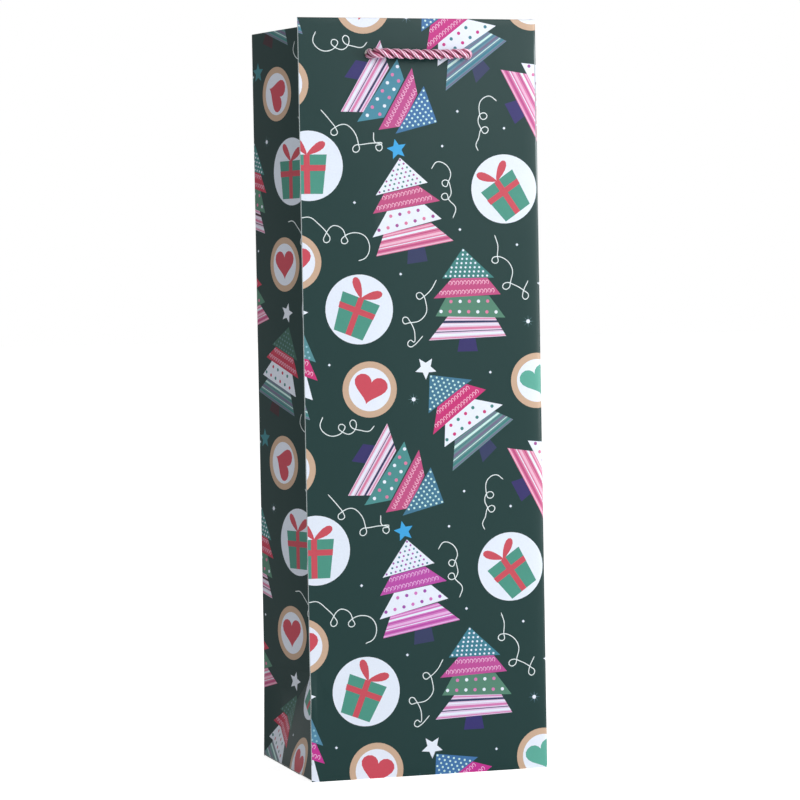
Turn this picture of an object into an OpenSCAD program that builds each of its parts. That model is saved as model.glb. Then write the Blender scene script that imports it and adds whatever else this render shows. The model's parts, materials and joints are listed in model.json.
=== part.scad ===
// Tall gift bag for one bottle: a creased and glued paper sheet with two cord handles.
// Every panel between two creases is a part of its own, so the bag can fold flat.
// Millimetres, +Z up, the bag stands on z = 0 with its foot centred on the origin.
// The front faces -Y, and the side panels (gussets) face -X and +X.

/* [Bag] */
// Width of the front and back walls
bag_w = 118; // [110:1:150]
// Depth of the bag at its foot, from front to back
bag_d = 92; // [85:1:105]
// Height of the folded edge round the mouth
bag_h = 360; // [330:1:420]
// How far each side panel stands folded inwards at rest, in degrees
pinch = 17; // [10:0.5:20]

/* [Paper and card] */
// Thickness of the laminated sheet
paper = 0.3; // [0.2:0.05:0.4]
// Thickness of the two cards inside the turned-in mouth
top_card_t = 0.5; // [0.4:0.1:0.8]
// Thickness of the card that stiffens the base
base_card_t = 0.8; // [0.6:0.1:1.0]
// Depth of the sheet turned in round the mouth
hem_h = 35; // [25:1:45]
// Width of the glued side seam under the front wall's edge
tab_w = 14; // [10:1:18]

/* [Cords] */
// Diameter of the twisted cord
cord_d = 5; // [4:0.5:5.5]
// Distance between the two holes in a wall
hole_gap = 48; // [40:1:52]
// Depth of the holes below the folded edge
hole_drop = 17; // [14:1:22]
// Diameter of a punched hole
hole_d = 5.6; // [5.6:0.1:6.4]
// Diameter of the knot at each cord end
knot_d = 10.4; // [9:0.2:11]

/* [Hidden] */

crease = 0.15;                       // bare strip on each side of a crease
inner_w = bag_w / 2 - paper;         // inner face of the side creases, from the middle
inner_d = bag_d / 2 - paper;         // inner face of the front wall, from the middle
half_gusset = inner_d;               // width of half a side panel
tube_d = 2 * half_gusset * cos(pinch) + 2 * paper * sin(pinch);  // clear depth above the foot
front_in = -inner_d;                 // inner face of the front wall
back_in = front_in + tube_d;         // inner face of the back wall
back_out = back_in + paper;
tube_mid = (front_in + back_in) / 2;
fold_z = bag_d / 2;                  // height of the fold-flat crease
foot_lean = atan((bag_d / 2 - back_out) / fold_z);  // outward lean of the strip below that crease
foot_len = fold_z / cos(foot_lean) - 0.1;

flap_side = 0.5;                     // base flaps stop this short of the side creases
flap_z = [0, paper, 2 * paper, 3 * paper];  // undersides of outer flap, inner flap, dust flaps, card
foot_level = flap_z[3];
dust_in = 38;                        // how far a dust flap reaches in
card_rear = 6;                       // the base card stops short of the foot's rear
card_front = 2.5;
card_side = 3;

hem_side = 7;                        // hems and cards stop short of the corner creases
top_card_side = 8;
hem_z = bag_h - hem_h;
hole_z = bag_h - hole_drop;
hole_x = hole_gap / 2;

diagonal_gap = 1.1;                  // room at the slanted creases of the foot
tip_cut = 5;                         // half width of the blunt tip of a foot triangle

cord_sides = 8;
bend_r = 4.5;                        // cord's bend on each side of a hole
cord_clear = 0.3;
span_y = -bag_d / 2 - bend_r - 0.6;  // middle line of the handle span
tail_y = front_in + top_card_t + paper + cord_clear + cord_d / 2;
knot_y = front_in + cord_clear + knot_d / 2;
knot_x = 6.5;
long_tail_z = 195;                   // middle of the lower knot
short_tail_z = 217;                  // middle of the higher knot

green = [0.17, 0.25, 0.24];
dark_green = [0.14, 0.19, 0.19];
white = [0.93, 0.93, 0.92];
board = [0.62, 0.58, 0.53];
pink = [0.88, 0.42, 0.56];

// A flat panel: level 0 is the inner face, and the thickness lies outside of the level
module sheet(outline, level = 0, thick = paper) {
    translate([0, 0, level - thick]) linear_extrude(thick) polygon(outline);
}

// Stands a panel on the front left corner crease: outline x runs back, outline y runs up
module on_front_crease() {
    translate([-inner_w, front_in, 0]) rotate([0, 0, 90 - pinch]) rotate([90, 0, 0]) children();
}

// The same on the back left corner crease: outline x runs forwards
module on_back_crease() {
    translate([0, 2 * tube_mid, 0]) mirror([0, 1, 0]) on_front_crease() children();
}

// Stands a panel on the base's left edge: outline x runs back, outline y up
module on_base_edge() {
    translate([-inner_w, 0, foot_level]) rotate([0, pinch, 0]) rotate([0, 0, 90])
        rotate([90, 0, 0]) children();
}

// Hangs a part from the fold-flat crease, along the leaning strip of the back wall
module on_foot_crease() {
    translate([0, back_out, fold_z]) rotate([foot_lean, 0, 0]) children();
}

// Stands a panel on the strip's left edge: outline x runs forwards, outline y up
module on_heel_edge() {
    on_foot_crease() translate([-inner_w, -paper, 0]) mirror([0, 1, 0])
        rotate([0, 0, 90 - pinch]) rotate([90, 0, 0]) children();
}

module other_side() {
    mirror([1, 0, 0]) children();
}

function box_outline(x0, y0, x1, y1) = [[x0, y0], [x1, y0], [x1, y1], [x0, y1]];

// The pair of punched holes, through everything near the given wall
module hole_pair(y) {
    for (x = [-hole_x, hole_x])
        translate([x, y, hole_z]) rotate([90, 0, 0]) cylinder(d = hole_d, h = 4, center = true, $fn = 48);
}

// An upright plate across the bag
module wall_plate(half_w, y, thick, z0, z1) {
    translate([-half_w, y, z0]) cube([2 * half_w, thick, z1 - z0]);
}

module front_panel() {
    color(green) difference() {
        wall_plate(bag_w / 2, -bag_d / 2, paper, 0, bag_h);
        hole_pair(front_in);
    }
}

module glue_tab() {
    seam_start = 1.6;
    color(white) translate([-inner_w + seam_start, front_in, 2]) cube([tab_w, paper, hem_z - 3]);
}

module front_top_card() {
    color(board) difference() {
        wall_plate(bag_w / 2 - top_card_side, front_in, top_card_t, hem_z + 0.5, bag_h - 1.5);
        hole_pair(front_in);
    }
}

module front_hem() {
    color(dark_green) difference() {
        wall_plate(bag_w / 2 - hem_side, front_in + top_card_t, paper, hem_z, bag_h);
        hole_pair(front_in);
    }
}

module back_panel() {
    color(green) difference() {
        wall_plate(bag_w / 2, back_in, paper, fold_z + crease, bag_h);
        hole_pair(back_in);
    }
}

module back_top_card() {
    color(board) difference() {
        wall_plate(bag_w / 2 - top_card_side, back_in - top_card_t, top_card_t, hem_z + 0.5, bag_h - 1.5);
        hole_pair(back_in);
    }
}

module back_hem() {
    color(dark_green) difference() {
        wall_plate(bag_w / 2 - hem_side, back_in - top_card_t - paper, paper, hem_z, bag_h);
        hole_pair(back_in);
    }
}

// Strip of the back wall between the fold-flat crease and the foot
module back_foot() {
    color(green) on_foot_crease()
        translate([-bag_w / 2, -paper, -foot_len]) cube([bag_w, paper, foot_len - crease]);
}

// Front half of the left side panel, cut along the slanted crease of the foot
module gusset_front() {
    far = half_gusset - crease;
    color(dark_green) on_front_crease() sheet([
        [crease, foot_level + crease + diagonal_gap], [far, fold_z + diagonal_gap],
        [far, bag_h], [crease, bag_h],
    ]);
}

// Rear half of the left side panel, above the fold-flat crease
module gusset_rear() {
    color(dark_green) on_back_crease()
        sheet(box_outline(crease, fold_z + diagonal_gap, half_gusset - crease, bag_h));
}

// Turned-in paper on the inner face of each half of the side panel
module gusset_hem() {
    color(dark_green) sheet(box_outline(3, hem_z, half_gusset - crease, bag_h), paper);
}

// Triangle between the base's edge and the two slanted creases
module foot_triangle() {
    reach = half_gusset - 2 * diagonal_gap;
    color(dark_green) on_base_edge() sheet([
        [-reach, crease], [reach, crease], [tip_cut, reach - tip_cut], [-tip_cut, reach - tip_cut],
    ]);
}

// Triangle between the leaning strip, the fold-flat crease and the rear slanted crease
module heel_triangle() {
    reach = half_gusset - 2 * diagonal_gap;
    color(dark_green) on_heel_edge() sheet([
        [crease, -diagonal_gap], [crease, diagonal_gap - reach],
        [reach - 2 * tip_cut, -2 * tip_cut], [reach - 2 * tip_cut, -diagonal_gap],
    ]);
}

// Flap of the back wall, outermost under the base
module base_outer_flap() {
    color(green) linear_extrude(paper)
        polygon(box_outline(-inner_w + flap_side, -20, inner_w - flap_side, inner_d - 0.4));
}

// Flap of the front wall, glued on top of the outer flap
module base_inner_flap() {
    color(white) translate([0, 0, flap_z[1]]) linear_extrude(paper)
        polygon(box_outline(-inner_w + flap_side, front_in + 0.1, inner_w - flap_side, 20));
}

// Flap of the left side panel, with mitred corners, folded in above the others
module dust_flap() {
    tip = -inner_w + dust_in;
    color(white) translate([0, 0, flap_z[2]]) linear_extrude(paper) polygon([
        [-inner_w + 0.1, -inner_d + 1.5], [-inner_w + 0.1, inner_d - 3.2],
        [tip, inner_d - 14], [tip, -inner_d + 14],
    ]);
}

module base_card() {
    color(board) translate([-inner_w + card_side, front_in + card_front, flap_z[3]])
        cube([2 * (inner_w - card_side), 2 * inner_d - card_front - card_rear, base_card_t]);
}

// Middle line of a cord on the front wall, from the left knot up through the left hole, along
// the wall and down to the right knot. The tails hang inside, one longer than the other.
function tail_points(side, knot_z) = [
    [side * knot_x, knot_y, knot_z],
    [side * knot_x, knot_y, knot_z + 6],
    [side * (knot_x + 1.5), (knot_y + tail_y) / 2, knot_z + 20],
    [side * (knot_x + 5), tail_y, knot_z + 50],
    [side * (hole_x - 3), tail_y, hole_z - 45],
    [side * (hole_x - 0.5), tail_y, hole_z - 18],
    [side * hole_x, tail_y, hole_z - bend_r],
    [side * hole_x, tail_y - 0.3 * bend_r, hole_z - 0.3 * bend_r],
    [side * hole_x, tail_y - bend_r, hole_z],
    [side * (hole_x - 0.3 * bend_r), span_y + 0.3 * bend_r, hole_z],
    [side * (hole_x - bend_r), span_y, hole_z],
];
function reversed(list) = [for (i = [len(list) - 1:-1:0]) list[i]];
function cord_route(left_z, right_z) = concat(
    tail_points(-1, left_z),
    [[-8, span_y - 0.6, hole_z - 0.4], [8, span_y - 0.6, hole_z - 0.5]],
    reversed(tail_points(1, right_z))
);

// A point on the smooth curve through four neighbouring route points
function spline_point(a, b, c, d, t) = 0.5 * (
    2 * b + (c - a) * t + (2 * a - 5 * b + 4 * c - d) * t * t + (3 * b - a - 3 * c + d) * t * t * t
);
function rings_between(a, b) = max(1, round(norm(b - a) / (2.2 * cord_d)));
function smooth_route(points) = concat(
    [for (i = [0:len(points) - 2])
        let (
            before = points[max(i - 1, 0)], after = points[min(i + 2, len(points) - 1)],
            steps = rings_between(points[i], points[i + 1])
        )
        for (k = [0:steps - 1]) spline_point(before, points[i], points[i + 1], after, k / steps)],
    [points[len(points) - 1]]
);
function unit(v) = v / norm(v);
function tangent(line, i) = unit(line[min(i + 1, len(line) - 1)] - line[max(i - 1, 0)]);
// Carries a side direction along the line without twist
function carried(line, i, side) = let (t = tangent(line, i)) unit(side - (side * t) * t);
function sides_along(line, i = 0, side = [0, 1, 0]) =
    i == len(line) ? [] : let (s = carried(line, i, side)) concat([s], sides_along(line, i + 1, s));

module cord_tube(route) {
    line = smooth_route(route);
    side = sides_along(line);
    n = cord_sides;
    rings = len(line);
    points = [for (i = [0:rings - 1])
        let (t = tangent(line, i), s = side[i], u = cross(t, s))
        for (k = [0:n - 1]) line[i] + cord_d / 2 * (cos(360 * k / n) * s + sin(360 * k / n) * u)];
    walls = [for (i = [0:rings - 2]) for (k = [0:n - 1])
        [i * n + k, i * n + (k + 1) % n, (i + 1) * n + (k + 1) % n, (i + 1) * n + k]];
    ends = [[for (k = [n - 1:-1:0]) k], [for (k = [0:n - 1]) (rings - 1) * n + k]];
    polyhedron(points = points, faces = [for (f = concat(walls, ends)) reversed(f)]);
}

// Overhand knot with the short cut end below it
module knot(side, z) {
    color(pink) translate([side * knot_x, knot_y, z]) {
        sphere(d = knot_d, $fn = 32);
        translate([0, 0, -knot_d / 2 - 7]) cylinder(d = cord_d, h = knot_d / 2 + 7, $fn = 24);
    }
}

// The back wall's cord is the front one's mirror image
module on_back_wall() {
    translate([0, back_out - bag_d / 2, 0]) mirror([0, 1, 0]) children();
}

module front_cord() {
    color(pink) cord_tube(cord_route(long_tail_z, short_tail_z));
}

module back_cord() {
    color(pink) on_back_wall() cord_tube(cord_route(short_tail_z, long_tail_z));
}

front_panel();
glue_tab();
front_hem();
front_top_card();
back_panel();
back_hem();
back_top_card();
back_foot();
gusset_front();  // left_gusset_front
gusset_rear();  // left_gusset_rear
on_front_crease() gusset_hem();  // left_hem_front
on_back_crease() gusset_hem();  // left_hem_rear
other_side() gusset_front();  // right_gusset_front
other_side() gusset_rear();  // right_gusset_rear
other_side() on_front_crease() gusset_hem();  // right_hem_front
other_side() on_back_crease() gusset_hem();  // right_hem_rear
foot_triangle();  // left_foot_triangle
other_side() foot_triangle();  // right_foot_triangle
heel_triangle();  // left_heel_triangle
other_side() heel_triangle();  // right_heel_triangle
base_outer_flap();
base_inner_flap();
dust_flap();  // left_dust_flap
other_side() dust_flap();  // right_dust_flap
base_card();
front_cord();
knot(-1, long_tail_z);  // front_left_knot
knot(1, short_tail_z);  // front_right_knot
back_cord();
on_back_wall() knot(-1, short_tail_z);  // back_left_knot
on_back_wall() knot(1, long_tail_z);  // back_right_knot
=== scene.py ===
"""Tall printed paper gift bag for one bottle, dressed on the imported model's frame."""

import json
import logging
import math
from dataclasses import dataclass, field
from enum import Enum
from itertools import accumulate, product

import bpy
from bpy.types import Material, Node, NodeSocket, NodeTree, Object
from mathutils import Matrix, Vector
from mathutils.geometry import delaunay_2d_cdt

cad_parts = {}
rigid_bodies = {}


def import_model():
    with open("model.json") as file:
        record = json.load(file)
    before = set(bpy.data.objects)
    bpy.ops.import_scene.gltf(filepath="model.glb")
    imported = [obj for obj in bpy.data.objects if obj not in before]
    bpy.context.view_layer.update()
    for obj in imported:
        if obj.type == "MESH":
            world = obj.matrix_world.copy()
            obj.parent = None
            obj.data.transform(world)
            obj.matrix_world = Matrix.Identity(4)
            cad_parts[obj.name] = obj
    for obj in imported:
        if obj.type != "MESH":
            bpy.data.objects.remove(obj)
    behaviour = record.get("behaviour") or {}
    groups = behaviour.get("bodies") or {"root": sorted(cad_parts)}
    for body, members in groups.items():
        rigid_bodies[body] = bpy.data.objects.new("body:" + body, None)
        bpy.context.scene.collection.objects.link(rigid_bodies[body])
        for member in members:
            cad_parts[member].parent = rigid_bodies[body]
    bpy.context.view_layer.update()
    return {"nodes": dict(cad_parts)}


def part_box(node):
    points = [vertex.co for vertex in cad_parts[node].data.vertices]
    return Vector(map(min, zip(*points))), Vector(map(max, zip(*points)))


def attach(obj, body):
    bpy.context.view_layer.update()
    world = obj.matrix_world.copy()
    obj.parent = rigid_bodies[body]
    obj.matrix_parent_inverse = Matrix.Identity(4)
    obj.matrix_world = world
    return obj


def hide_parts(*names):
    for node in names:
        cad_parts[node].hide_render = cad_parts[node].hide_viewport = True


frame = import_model()

MM = 0.001
LOG = logging.getLogger("gift_bag")

Point = tuple[float, float]
Triple = tuple[float, float, float]
Loop = list[Point]


# --- inks and patches ---


class Ink(Enum):
    """Printing inks, as sRGB bytes, and one light grey for scuffs and a painted highlight."""

    GROUND = (28, 58, 57)
    DISC = (224, 233, 247)
    GIFT = (74, 146, 130)
    RIBBON = (198, 78, 92)
    RING = (200, 170, 146)
    HEART = (200, 76, 92)
    GREEN_HEART = (92, 168, 152)
    BLUE_STAR = (62, 164, 224)
    TEAL_STAR = (58, 128, 138)
    WHITE = (228, 235, 249)
    STAR = (228, 236, 248)
    LINE = (222, 232, 234)
    TEAL = (62, 128, 126)
    BLUE_TEAL = (66, 118, 146)
    FOREST = (84, 132, 112)
    DARK_GREEN = (60, 100, 88)
    MINT = (200, 232, 228)
    PINK = (214, 124, 160)
    PALE_PINK = (234, 184, 208)
    MAGENTA = (198, 52, 118)
    SCRIBBLE = (190, 80, 130)
    LILAC = (222, 200, 224)
    PURPLE = (160, 82, 150)
    VIOLET = (54, 50, 104)
    # Light grey for scuffs on the white cut edge and for a painted highlight along the rolled
    # corner.
    SCUFFED = (150, 162, 164)
    FADED_TEAL = (84, 138, 146)
    PALE_TEAL = (140, 190, 204)
    MAROON = (62, 36, 44)
    SLATE = (52, 60, 96)
    SEA = (74, 140, 140)
    RED = (194, 58, 84)
    TEAL_GREY = (100, 136, 142)
    PLUM = (112, 106, 136)


@dataclass
class Patch:
    """One closed shape of ink. A patch with a parent only shows on that parent."""

    outline: Loop
    ink: Ink
    parent: int | None = None


def blob(centre: Point, radius: float, count: int = 8, turn: float = 0.0) -> Loop:
    """A regular polygon that stands for a dot or a disc.

    Args:
        centre: Middle of the polygon.
        radius: Distance of its corners from there.
        count: Number of corners.
        turn: Angle of the first corner, in radians.

    Returns:
        The corners, counter-clockwise.
    """
    return [
        (
            centre[0] + radius * math.cos(turn + math.tau * i / count),
            centre[1] + radius * math.sin(turn + math.tau * i / count),
        )
        for i in range(count)
    ]


def placed(points: Loop, centre: Point, degrees: float = 0.0, scale: float = 1.0) -> Loop:
    """Turns, scales and moves a list of points."""
    c, s = math.cos(math.radians(degrees)) * scale, math.sin(math.radians(degrees)) * scale
    return [(centre[0] + c * x - s * y, centre[1] + s * x + c * y) for x, y in points]


def between(a: Point, b: Point, share: float) -> Point:
    """The point at that share of the way from a to b."""
    return (a[0] + (b[0] - a[0]) * share, a[1] + (b[1] - a[1]) * share)


def signed_area(loop: Loop) -> float:
    """Twice the signed area of a loop, positive when it runs counter-clockwise."""
    return sum(a[0] * b[1] - b[0] * a[1] for a, b in zip(loop, loop[1:] + loop[:1]))


def cubic(a: Vector, b: Vector, leave: Vector, arrive: Vector, count: int) -> list[Vector]:
    """Points from a up to, but without, b on a cubic with those rates at its ends.

    Args:
        a: Start of the cubic.
        b: End of the cubic.
        leave: Rate at the start.
        arrive: Rate at the end.
        count: Number of points.

    Returns:
        The points in order.
    """
    return [
        a * (2 * t**3 - 3 * t * t + 1) + leave * (t**3 - 2 * t * t + t)
        + b * (3 * t * t - 2 * t**3) + arrive * (t**3 - t * t)
        for t in (k / count for k in range(count))
    ]


def smooth_line(points: list, step: float) -> list[Vector]:
    """Catmull-Rom curve through points of two or three numbers.

    Args:
        points: The points that the curve passes.
        step: Rough distance between the points that come back.

    Returns:
        Vectors along the curve, both ends included.
    """
    p = [Vector(q) for q in points]
    out = []
    for i in range(len(p) - 1):
        a, b, c, d = p[max(i - 1, 0)], p[i], p[i + 1], p[min(i + 2, len(p) - 1)]
        out += cubic(b, c, (c - a) / 2, (d - b) / 2, max(1, round((c - b).length / step)))
    return [*out, p[-1]]


def flowing_line(points: Loop, step: float) -> list[Vector]:
    """Curve through unevenly spaced points that keeps its speed, for loops and curls.

    Args:
        points: The points that the curve passes.
        step: Rough distance between the points that come back.

    Returns:
        Vectors along the curve, both ends included.
    """
    p = [Vector(q) for q in points]
    runs = [(b - a).length for a, b in zip(p, p[1:])]
    ways = [(b - a).normalized() for a, b in zip(p, p[1:])]
    bends = zip(ways, ways[1:], runs, runs[1:])
    aims = [ways[0], *((w * far + v * near).normalized() for w, v, near, far in bends), ways[-1]]
    out = []
    for a, b, leave, arrive, run in zip(p, p[1:], aims, aims[1:], runs):
        out += cubic(a, b, leave * run, arrive * run, max(1, round(run / step)))
    return [*out, p[-1]]


def stroke(points: list[Vector], width: float, ink: Ink) -> list[Patch]:
    """A pen line of even width, as a chain of short quads that share their ends.

    Args:
        points: Points along the middle of the line.
        width: Width of the pen.
        ink: The line's ink.

    Returns:
        One patch for each pair of neighbouring points.
    """
    last, end_share, sides = len(points) - 1, 0.55, []
    for i, p in enumerate(points):
        t = points[min(i + 1, last)] - points[max(i - 1, 0)]
        n = Vector((-t.y, t.x)).normalized() * width / 2 * (end_share if i in (0, last) else 1.0)
        sides.append((tuple(p + n), tuple(p - n)))
    return [Patch([*a, b[1], b[0]], ink) for a, b in zip(sides, sides[1:])]


# --- motifs ---


def gift(centre: Point, degrees: float) -> list[Patch]:
    """A wrapped gift with a bow on a white disc.

    Args:
        centre: Middle of the disc.
        degrees: Turn from upright, counter-clockwise.

    Returns:
        The gift's patches in painting order.
    """
    turns = [math.tau * i / 14 for i in range(14)]
    petal = [
        (5.3 * (1 - math.cos(t)), 1.84 * math.sin(t) * (1 - 0.45 * math.cos(t))) for t in turns
    ]
    knot = (-0.9, 5.2)
    shapes = [
        (blob((0, 0), 16.5, 44), Ink.DISC),
        ([(-10.6, 5.3), (-8.4, -13.2), (6.6, -13.2), (8.8, 5.3)], Ink.GIFT),
        ([(-2.4, 5.3), (-2.4, -13.2), (0.5, -13.2), (0.5, 5.3)], Ink.RIBBON),
        ([(-10.3, 0.4), (-9.95, -2.4), (8.0, -2.4), (8.3, 0.4)], Ink.RIBBON),
        (placed(petal, knot, 33), Ink.RIBBON),
        (placed(petal, knot, 128), Ink.RIBBON),
    ]
    return [Patch(placed(s, centre, degrees), ink) for s, ink in shapes]


def ring_heart(centre: Point, degrees: float, ink: Ink) -> list[Patch]:
    """A heart on a white disc with a tan ring.

    Args:
        centre: Middle of the disc.
        degrees: Turn from upright, counter-clockwise.
        ink: The heart's ink.

    Returns:
        The heart's patches in painting order.
    """
    heart = []
    for i in range(28):
        t = math.tau * i / 28
        x = 16 * math.sin(t) ** 3
        y = 13 * math.cos(t) - 5 * math.cos(2 * t) - 2 * math.cos(3 * t) - math.cos(4 * t)
        heart.append((x * 0.52, (y + 1.8) * 0.48))
    return [
        Patch(blob(centre, 13.3, 40), Ink.RING),
        Patch(blob(centre, 10.3, 36), Ink.WHITE),
        Patch(placed(heart, centre, degrees), ink),
    ]


def star(centre: Point, radius: float, ink: Ink, degrees: float = 0.0) -> list[Patch]:
    """A five-pointed star, one tip up when not turned.

    Args:
        centre: Middle of the star.
        radius: Distance of its tips from there.
        ink: The star's ink.
        degrees: Turn counter-clockwise.

    Returns:
        The star as one patch.
    """
    notch, points = 0.46, []
    for i in range(10):
        r = radius * notch if i % 2 else radius
        a = math.radians(90 + degrees + 36 * i)
        points.append((centre[0] + r * math.cos(a), centre[1] + r * math.sin(a)))
    return [Patch(points, ink)]


def sparkle(centre: Point, big: bool = False) -> list[Patch]:
    """A bright dot with fine rays, more and longer ones on a big dot.

    Args:
        centre: The dot's middle.
        big: Whether the dot is a big one.

    Returns:
        The rays and the dot.
    """
    reach, radius, turns = (3.0, 1.0, (0, 45, 90, 135)) if big else (1.2, 0.6, (0, 90))
    out = []
    for turn in turns:
        thin = 0.22 if turn % 90 == 0 else 0.14
        ray = [(-reach, 0), (0, -thin), (reach, 0), (0, thin)]
        out.append(Patch(placed(ray, centre, turn), Ink.TEAL_GREY))
    return [*out, Patch(blob(centre, radius, 8), Ink.WHITE)]


def curl(route: list) -> list[Patch]:
    """A thin white curl with small loops.

    Args:
        route: Points of the curl. One with a third value is the middle of a loop of that size.

    Returns:
        The curl's strokes.
    """
    pen, step = 0.44, 0.8
    points: list = []
    for i, p in enumerate(route):
        if len(p) == 2:
            points.append(p)
            continue
        centre = Vector(p[:2])
        before, after = Vector(route[i - 1][:2]), Vector(route[min(i + 1, len(route) - 1)][:2])
        way, aside = after - before, centre - before
        sense = 1 if way.x * aside.y - way.y * aside.x > 0 else -1
        start = (before + after) / 2 - centre
        turn = math.atan2(start.y, start.x)
        for degrees, stretch in ((50, 1.3), (105, 1.0), (180, 0.95), (255, 1.0), (310, 1.3)):
            a = turn + sense * math.radians(degrees)
            reach = p[2] * stretch
            points.append((centre.x + reach * math.cos(a), centre.y + reach * math.sin(a)))
    return stroke(flowing_line(points, step), pen, Ink.LINE)


class Fill(Enum):
    """What is printed over a tier of a tree."""

    FINE_DOTS = "fine dots"
    DOTS = "dots"
    SCRIBBLE = "rows of loops"
    STRIPES = "stripes"


@dataclass(frozen=True)
class TierStyle:
    """Ground ink, filling and the inks of the filling."""

    ground: Ink
    fill: Fill
    inks: tuple[Ink, ...]


Styles = tuple[TierStyle, ...]

# Middle and thickness of each stripe, as shares of a tier's height.
STRIPE_ROWS = (
    (0.06, 0.05), (0.19, 0.10), (0.33, 0.04), (0.47, 0.11), (0.63, 0.05), (0.76, 0.10),
    (0.91, 0.05),
)
# Distance between rows, radius and number of sides of each mark.
MARKS = {Fill.FINE_DOTS: (2.3, 0.56, 6), Fill.DOTS: (4.6, 0.85, 9), Fill.SCRIBBLE: (3.1, 0.85, 0)}
# The usual tree: half the base and its height, half the top edge and its height.
USUAL_TIERS = (
    (13.0, 28.7, 0.0, 43.0), (16.8, 20.2, 8.9, 28.9), (17.5, 10.1, 10.7, 20.3),
    (19.4, 0.0, 11.7, 10.4),
)
USUAL_TRUNK = [(-3.9, 0.5), (-5.2, -5.8), (4.9, -5.8), (3.9, 0.5)]


@dataclass
class Tier:
    """One layer of a tree: its base from left to right and its top edge."""

    base: tuple[Point, Point]
    top: tuple[Point, Point]
    style: TierStyle

    def outline(self) -> Loop:
        """The tier's corners.

        Returns:
            The corners in order.
        """
        if self.top[0] == self.top[1]:
            return [self.base[0], self.base[1], self.top[0]]
        return [self.base[0], self.base[1], self.top[1], self.top[0]]

    def row(self, share: float, spare: float = 0.0) -> tuple[Point, Point]:
        """The line across the tier at that share of its height, shortened at each end.

        Args:
            share: Share of the tier's height.
            spare: Length left out at each end.

        Returns:
            The line's left and right end.
        """
        a = between(self.base[0], self.top[0], share)
        b = between(self.base[1], self.top[1], share)
        width = math.dist(a, b)
        cut = min(0.49, spare / width) if width else 0.0
        return between(a, b, cut), between(a, b, 1 - cut)

    def height(self) -> float:
        """Distance from the base to the top edge.

        Returns:
            The distance in millimetres.
        """
        (ax, ay), (bx, by) = self.base
        x, y = between(*self.top, 0.5)
        return abs((bx - ax) * (y - ay) - (by - ay) * (x - ax)) / math.dist(*self.base)

    def stripes(self, index: int) -> list[Patch]:
        """Stripes along the tier.

        Args:
            index: The ground's place in the motif.

        Returns:
            One patch for each stripe.
        """
        inks, out = self.style.inks, []
        for i, (middle, thick) in enumerate(STRIPE_ROWS):
            low, high = self.row(middle - thick / 2), self.row(middle + thick / 2)
            out.append(Patch([*low, high[1], high[0]], inks[i % len(inks)], index))
        return out

    def marks(self, index: int) -> list[Patch]:
        """Rows of dots or loops.

        Args:
            index: The ground's place in the motif.

        Returns:
            One patch for each mark.
        """
        inks, fill, out = self.style.inks, self.style.fill, []
        loops = fill is Fill.SCRIBBLE
        pitch, radius, sides = MARKS[fill]
        arch = [(radius * math.cos(math.pi * s / 5), 1.35 * radius * math.sin(math.pi * s / 5))
                for s in range(-2, 7)]
        arch += [(0.62 * x, 0.68 * y) for x, y in reversed(arch)]
        rows = max(2, int(self.height() / (pitch * (1.0 if loops else 0.86))))
        step = pitch * (0.6 if loops else 1.0)
        for r in range(rows):
            a, b = self.row((r + 0.5) / rows, radius + 0.5)
            width = math.dist(a, b)
            shift = 0.5 if r % 2 and not loops else 0.0
            lean = math.degrees(math.atan2(b[1] - a[1], b[0] - a[0]))
            for k in range(int(width / step) + 1):
                share = (k + shift) * step / width if width else 0.5
                if share > 1:
                    break
                spot = between(a, b, share)
                shape = placed(arch, spot, lean) if loops else blob(spot, radius, sides, 0.3)
                out.append(Patch(shape, inks[(k + r) % len(inks)], index))
        return out

    def patches(self, index: int) -> list[Patch]:
        """The tier's ground, at that place in the motif, and its filling."""
        filling = self.stripes(index) if self.style.fill is Fill.STRIPES else self.marks(index)
        return [Patch(self.outline(), self.style.ground), *filling]


def tree(rows: list, styles: Styles, trunk: Loop, ink: Ink) -> list[Patch]:
    """A tree whose upper tiers lie over its lower ones.

    Args:
        rows: For each tier from the top one down, its base's left and right end and its top's.
        styles: The tiers' styles.
        trunk: The trunk's outline.
        ink: The trunk's ink.

    Returns:
        The tree's patches in painting order.
    """
    out = [Patch(trunk, ink)]
    for (ax, ay, bx, by, cx, cy, dx, dy), style in reversed([*zip(rows, styles)]):
        tier = Tier(((ax, ay), (bx, by)), ((cx, cy), (dx, dy)), style)
        out += tier.patches(len(out))
    return out


def plain_tree(foot: Point, degrees: float, scale: float, styles: Styles, ink: Ink) -> list[Patch]:
    """A tree of the usual outline.

    Args:
        foot: Middle of the lowest tier's base.
        degrees: Turn from upright, counter-clockwise.
        scale: Size, where 1 is a lowest tier 38.8 mm wide.
        styles: The four tiers' styles, from the top one down.
        ink: The trunk's ink.

    Returns:
        The tree's patches in painting order.
    """
    rows = []
    for half, low, top_half, high in USUAL_TIERS:
        corners = [(-half, low), (half, low), (-top_half, high), (top_half, high)]
        rows.append([x for point in placed(corners, foot, degrees, scale) for x in point])
    return tree(rows, styles, placed(USUAL_TRUNK, foot, degrees, scale), ink)


WHITE_FINE = TierStyle(Ink.WHITE, Fill.FINE_DOTS, (Ink.PURPLE, Ink.TEAL))
WHITE_DOTS = TierStyle(Ink.WHITE, Fill.DOTS, (Ink.PURPLE, Ink.PINK))
WHITE_TEAL_DOTS = TierStyle(Ink.WHITE, Fill.DOTS, (Ink.TEAL, Ink.MAGENTA))
TEAL_FINE = TierStyle(Ink.TEAL, Fill.FINE_DOTS, (Ink.WHITE,))
BLUE_FINE = TierStyle(Ink.BLUE_TEAL, Fill.FINE_DOTS, (Ink.MINT,))
GREEN_DOTS = TierStyle(Ink.FOREST, Fill.DOTS, (Ink.WHITE, Ink.PINK))
SEA_FINE = TierStyle(Ink.FADED_TEAL, Fill.FINE_DOTS, (Ink.PALE_TEAL,))
SEA_DOTS = TierStyle(Ink.SEA, Fill.DOTS, (Ink.WHITE, Ink.PINK))
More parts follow.
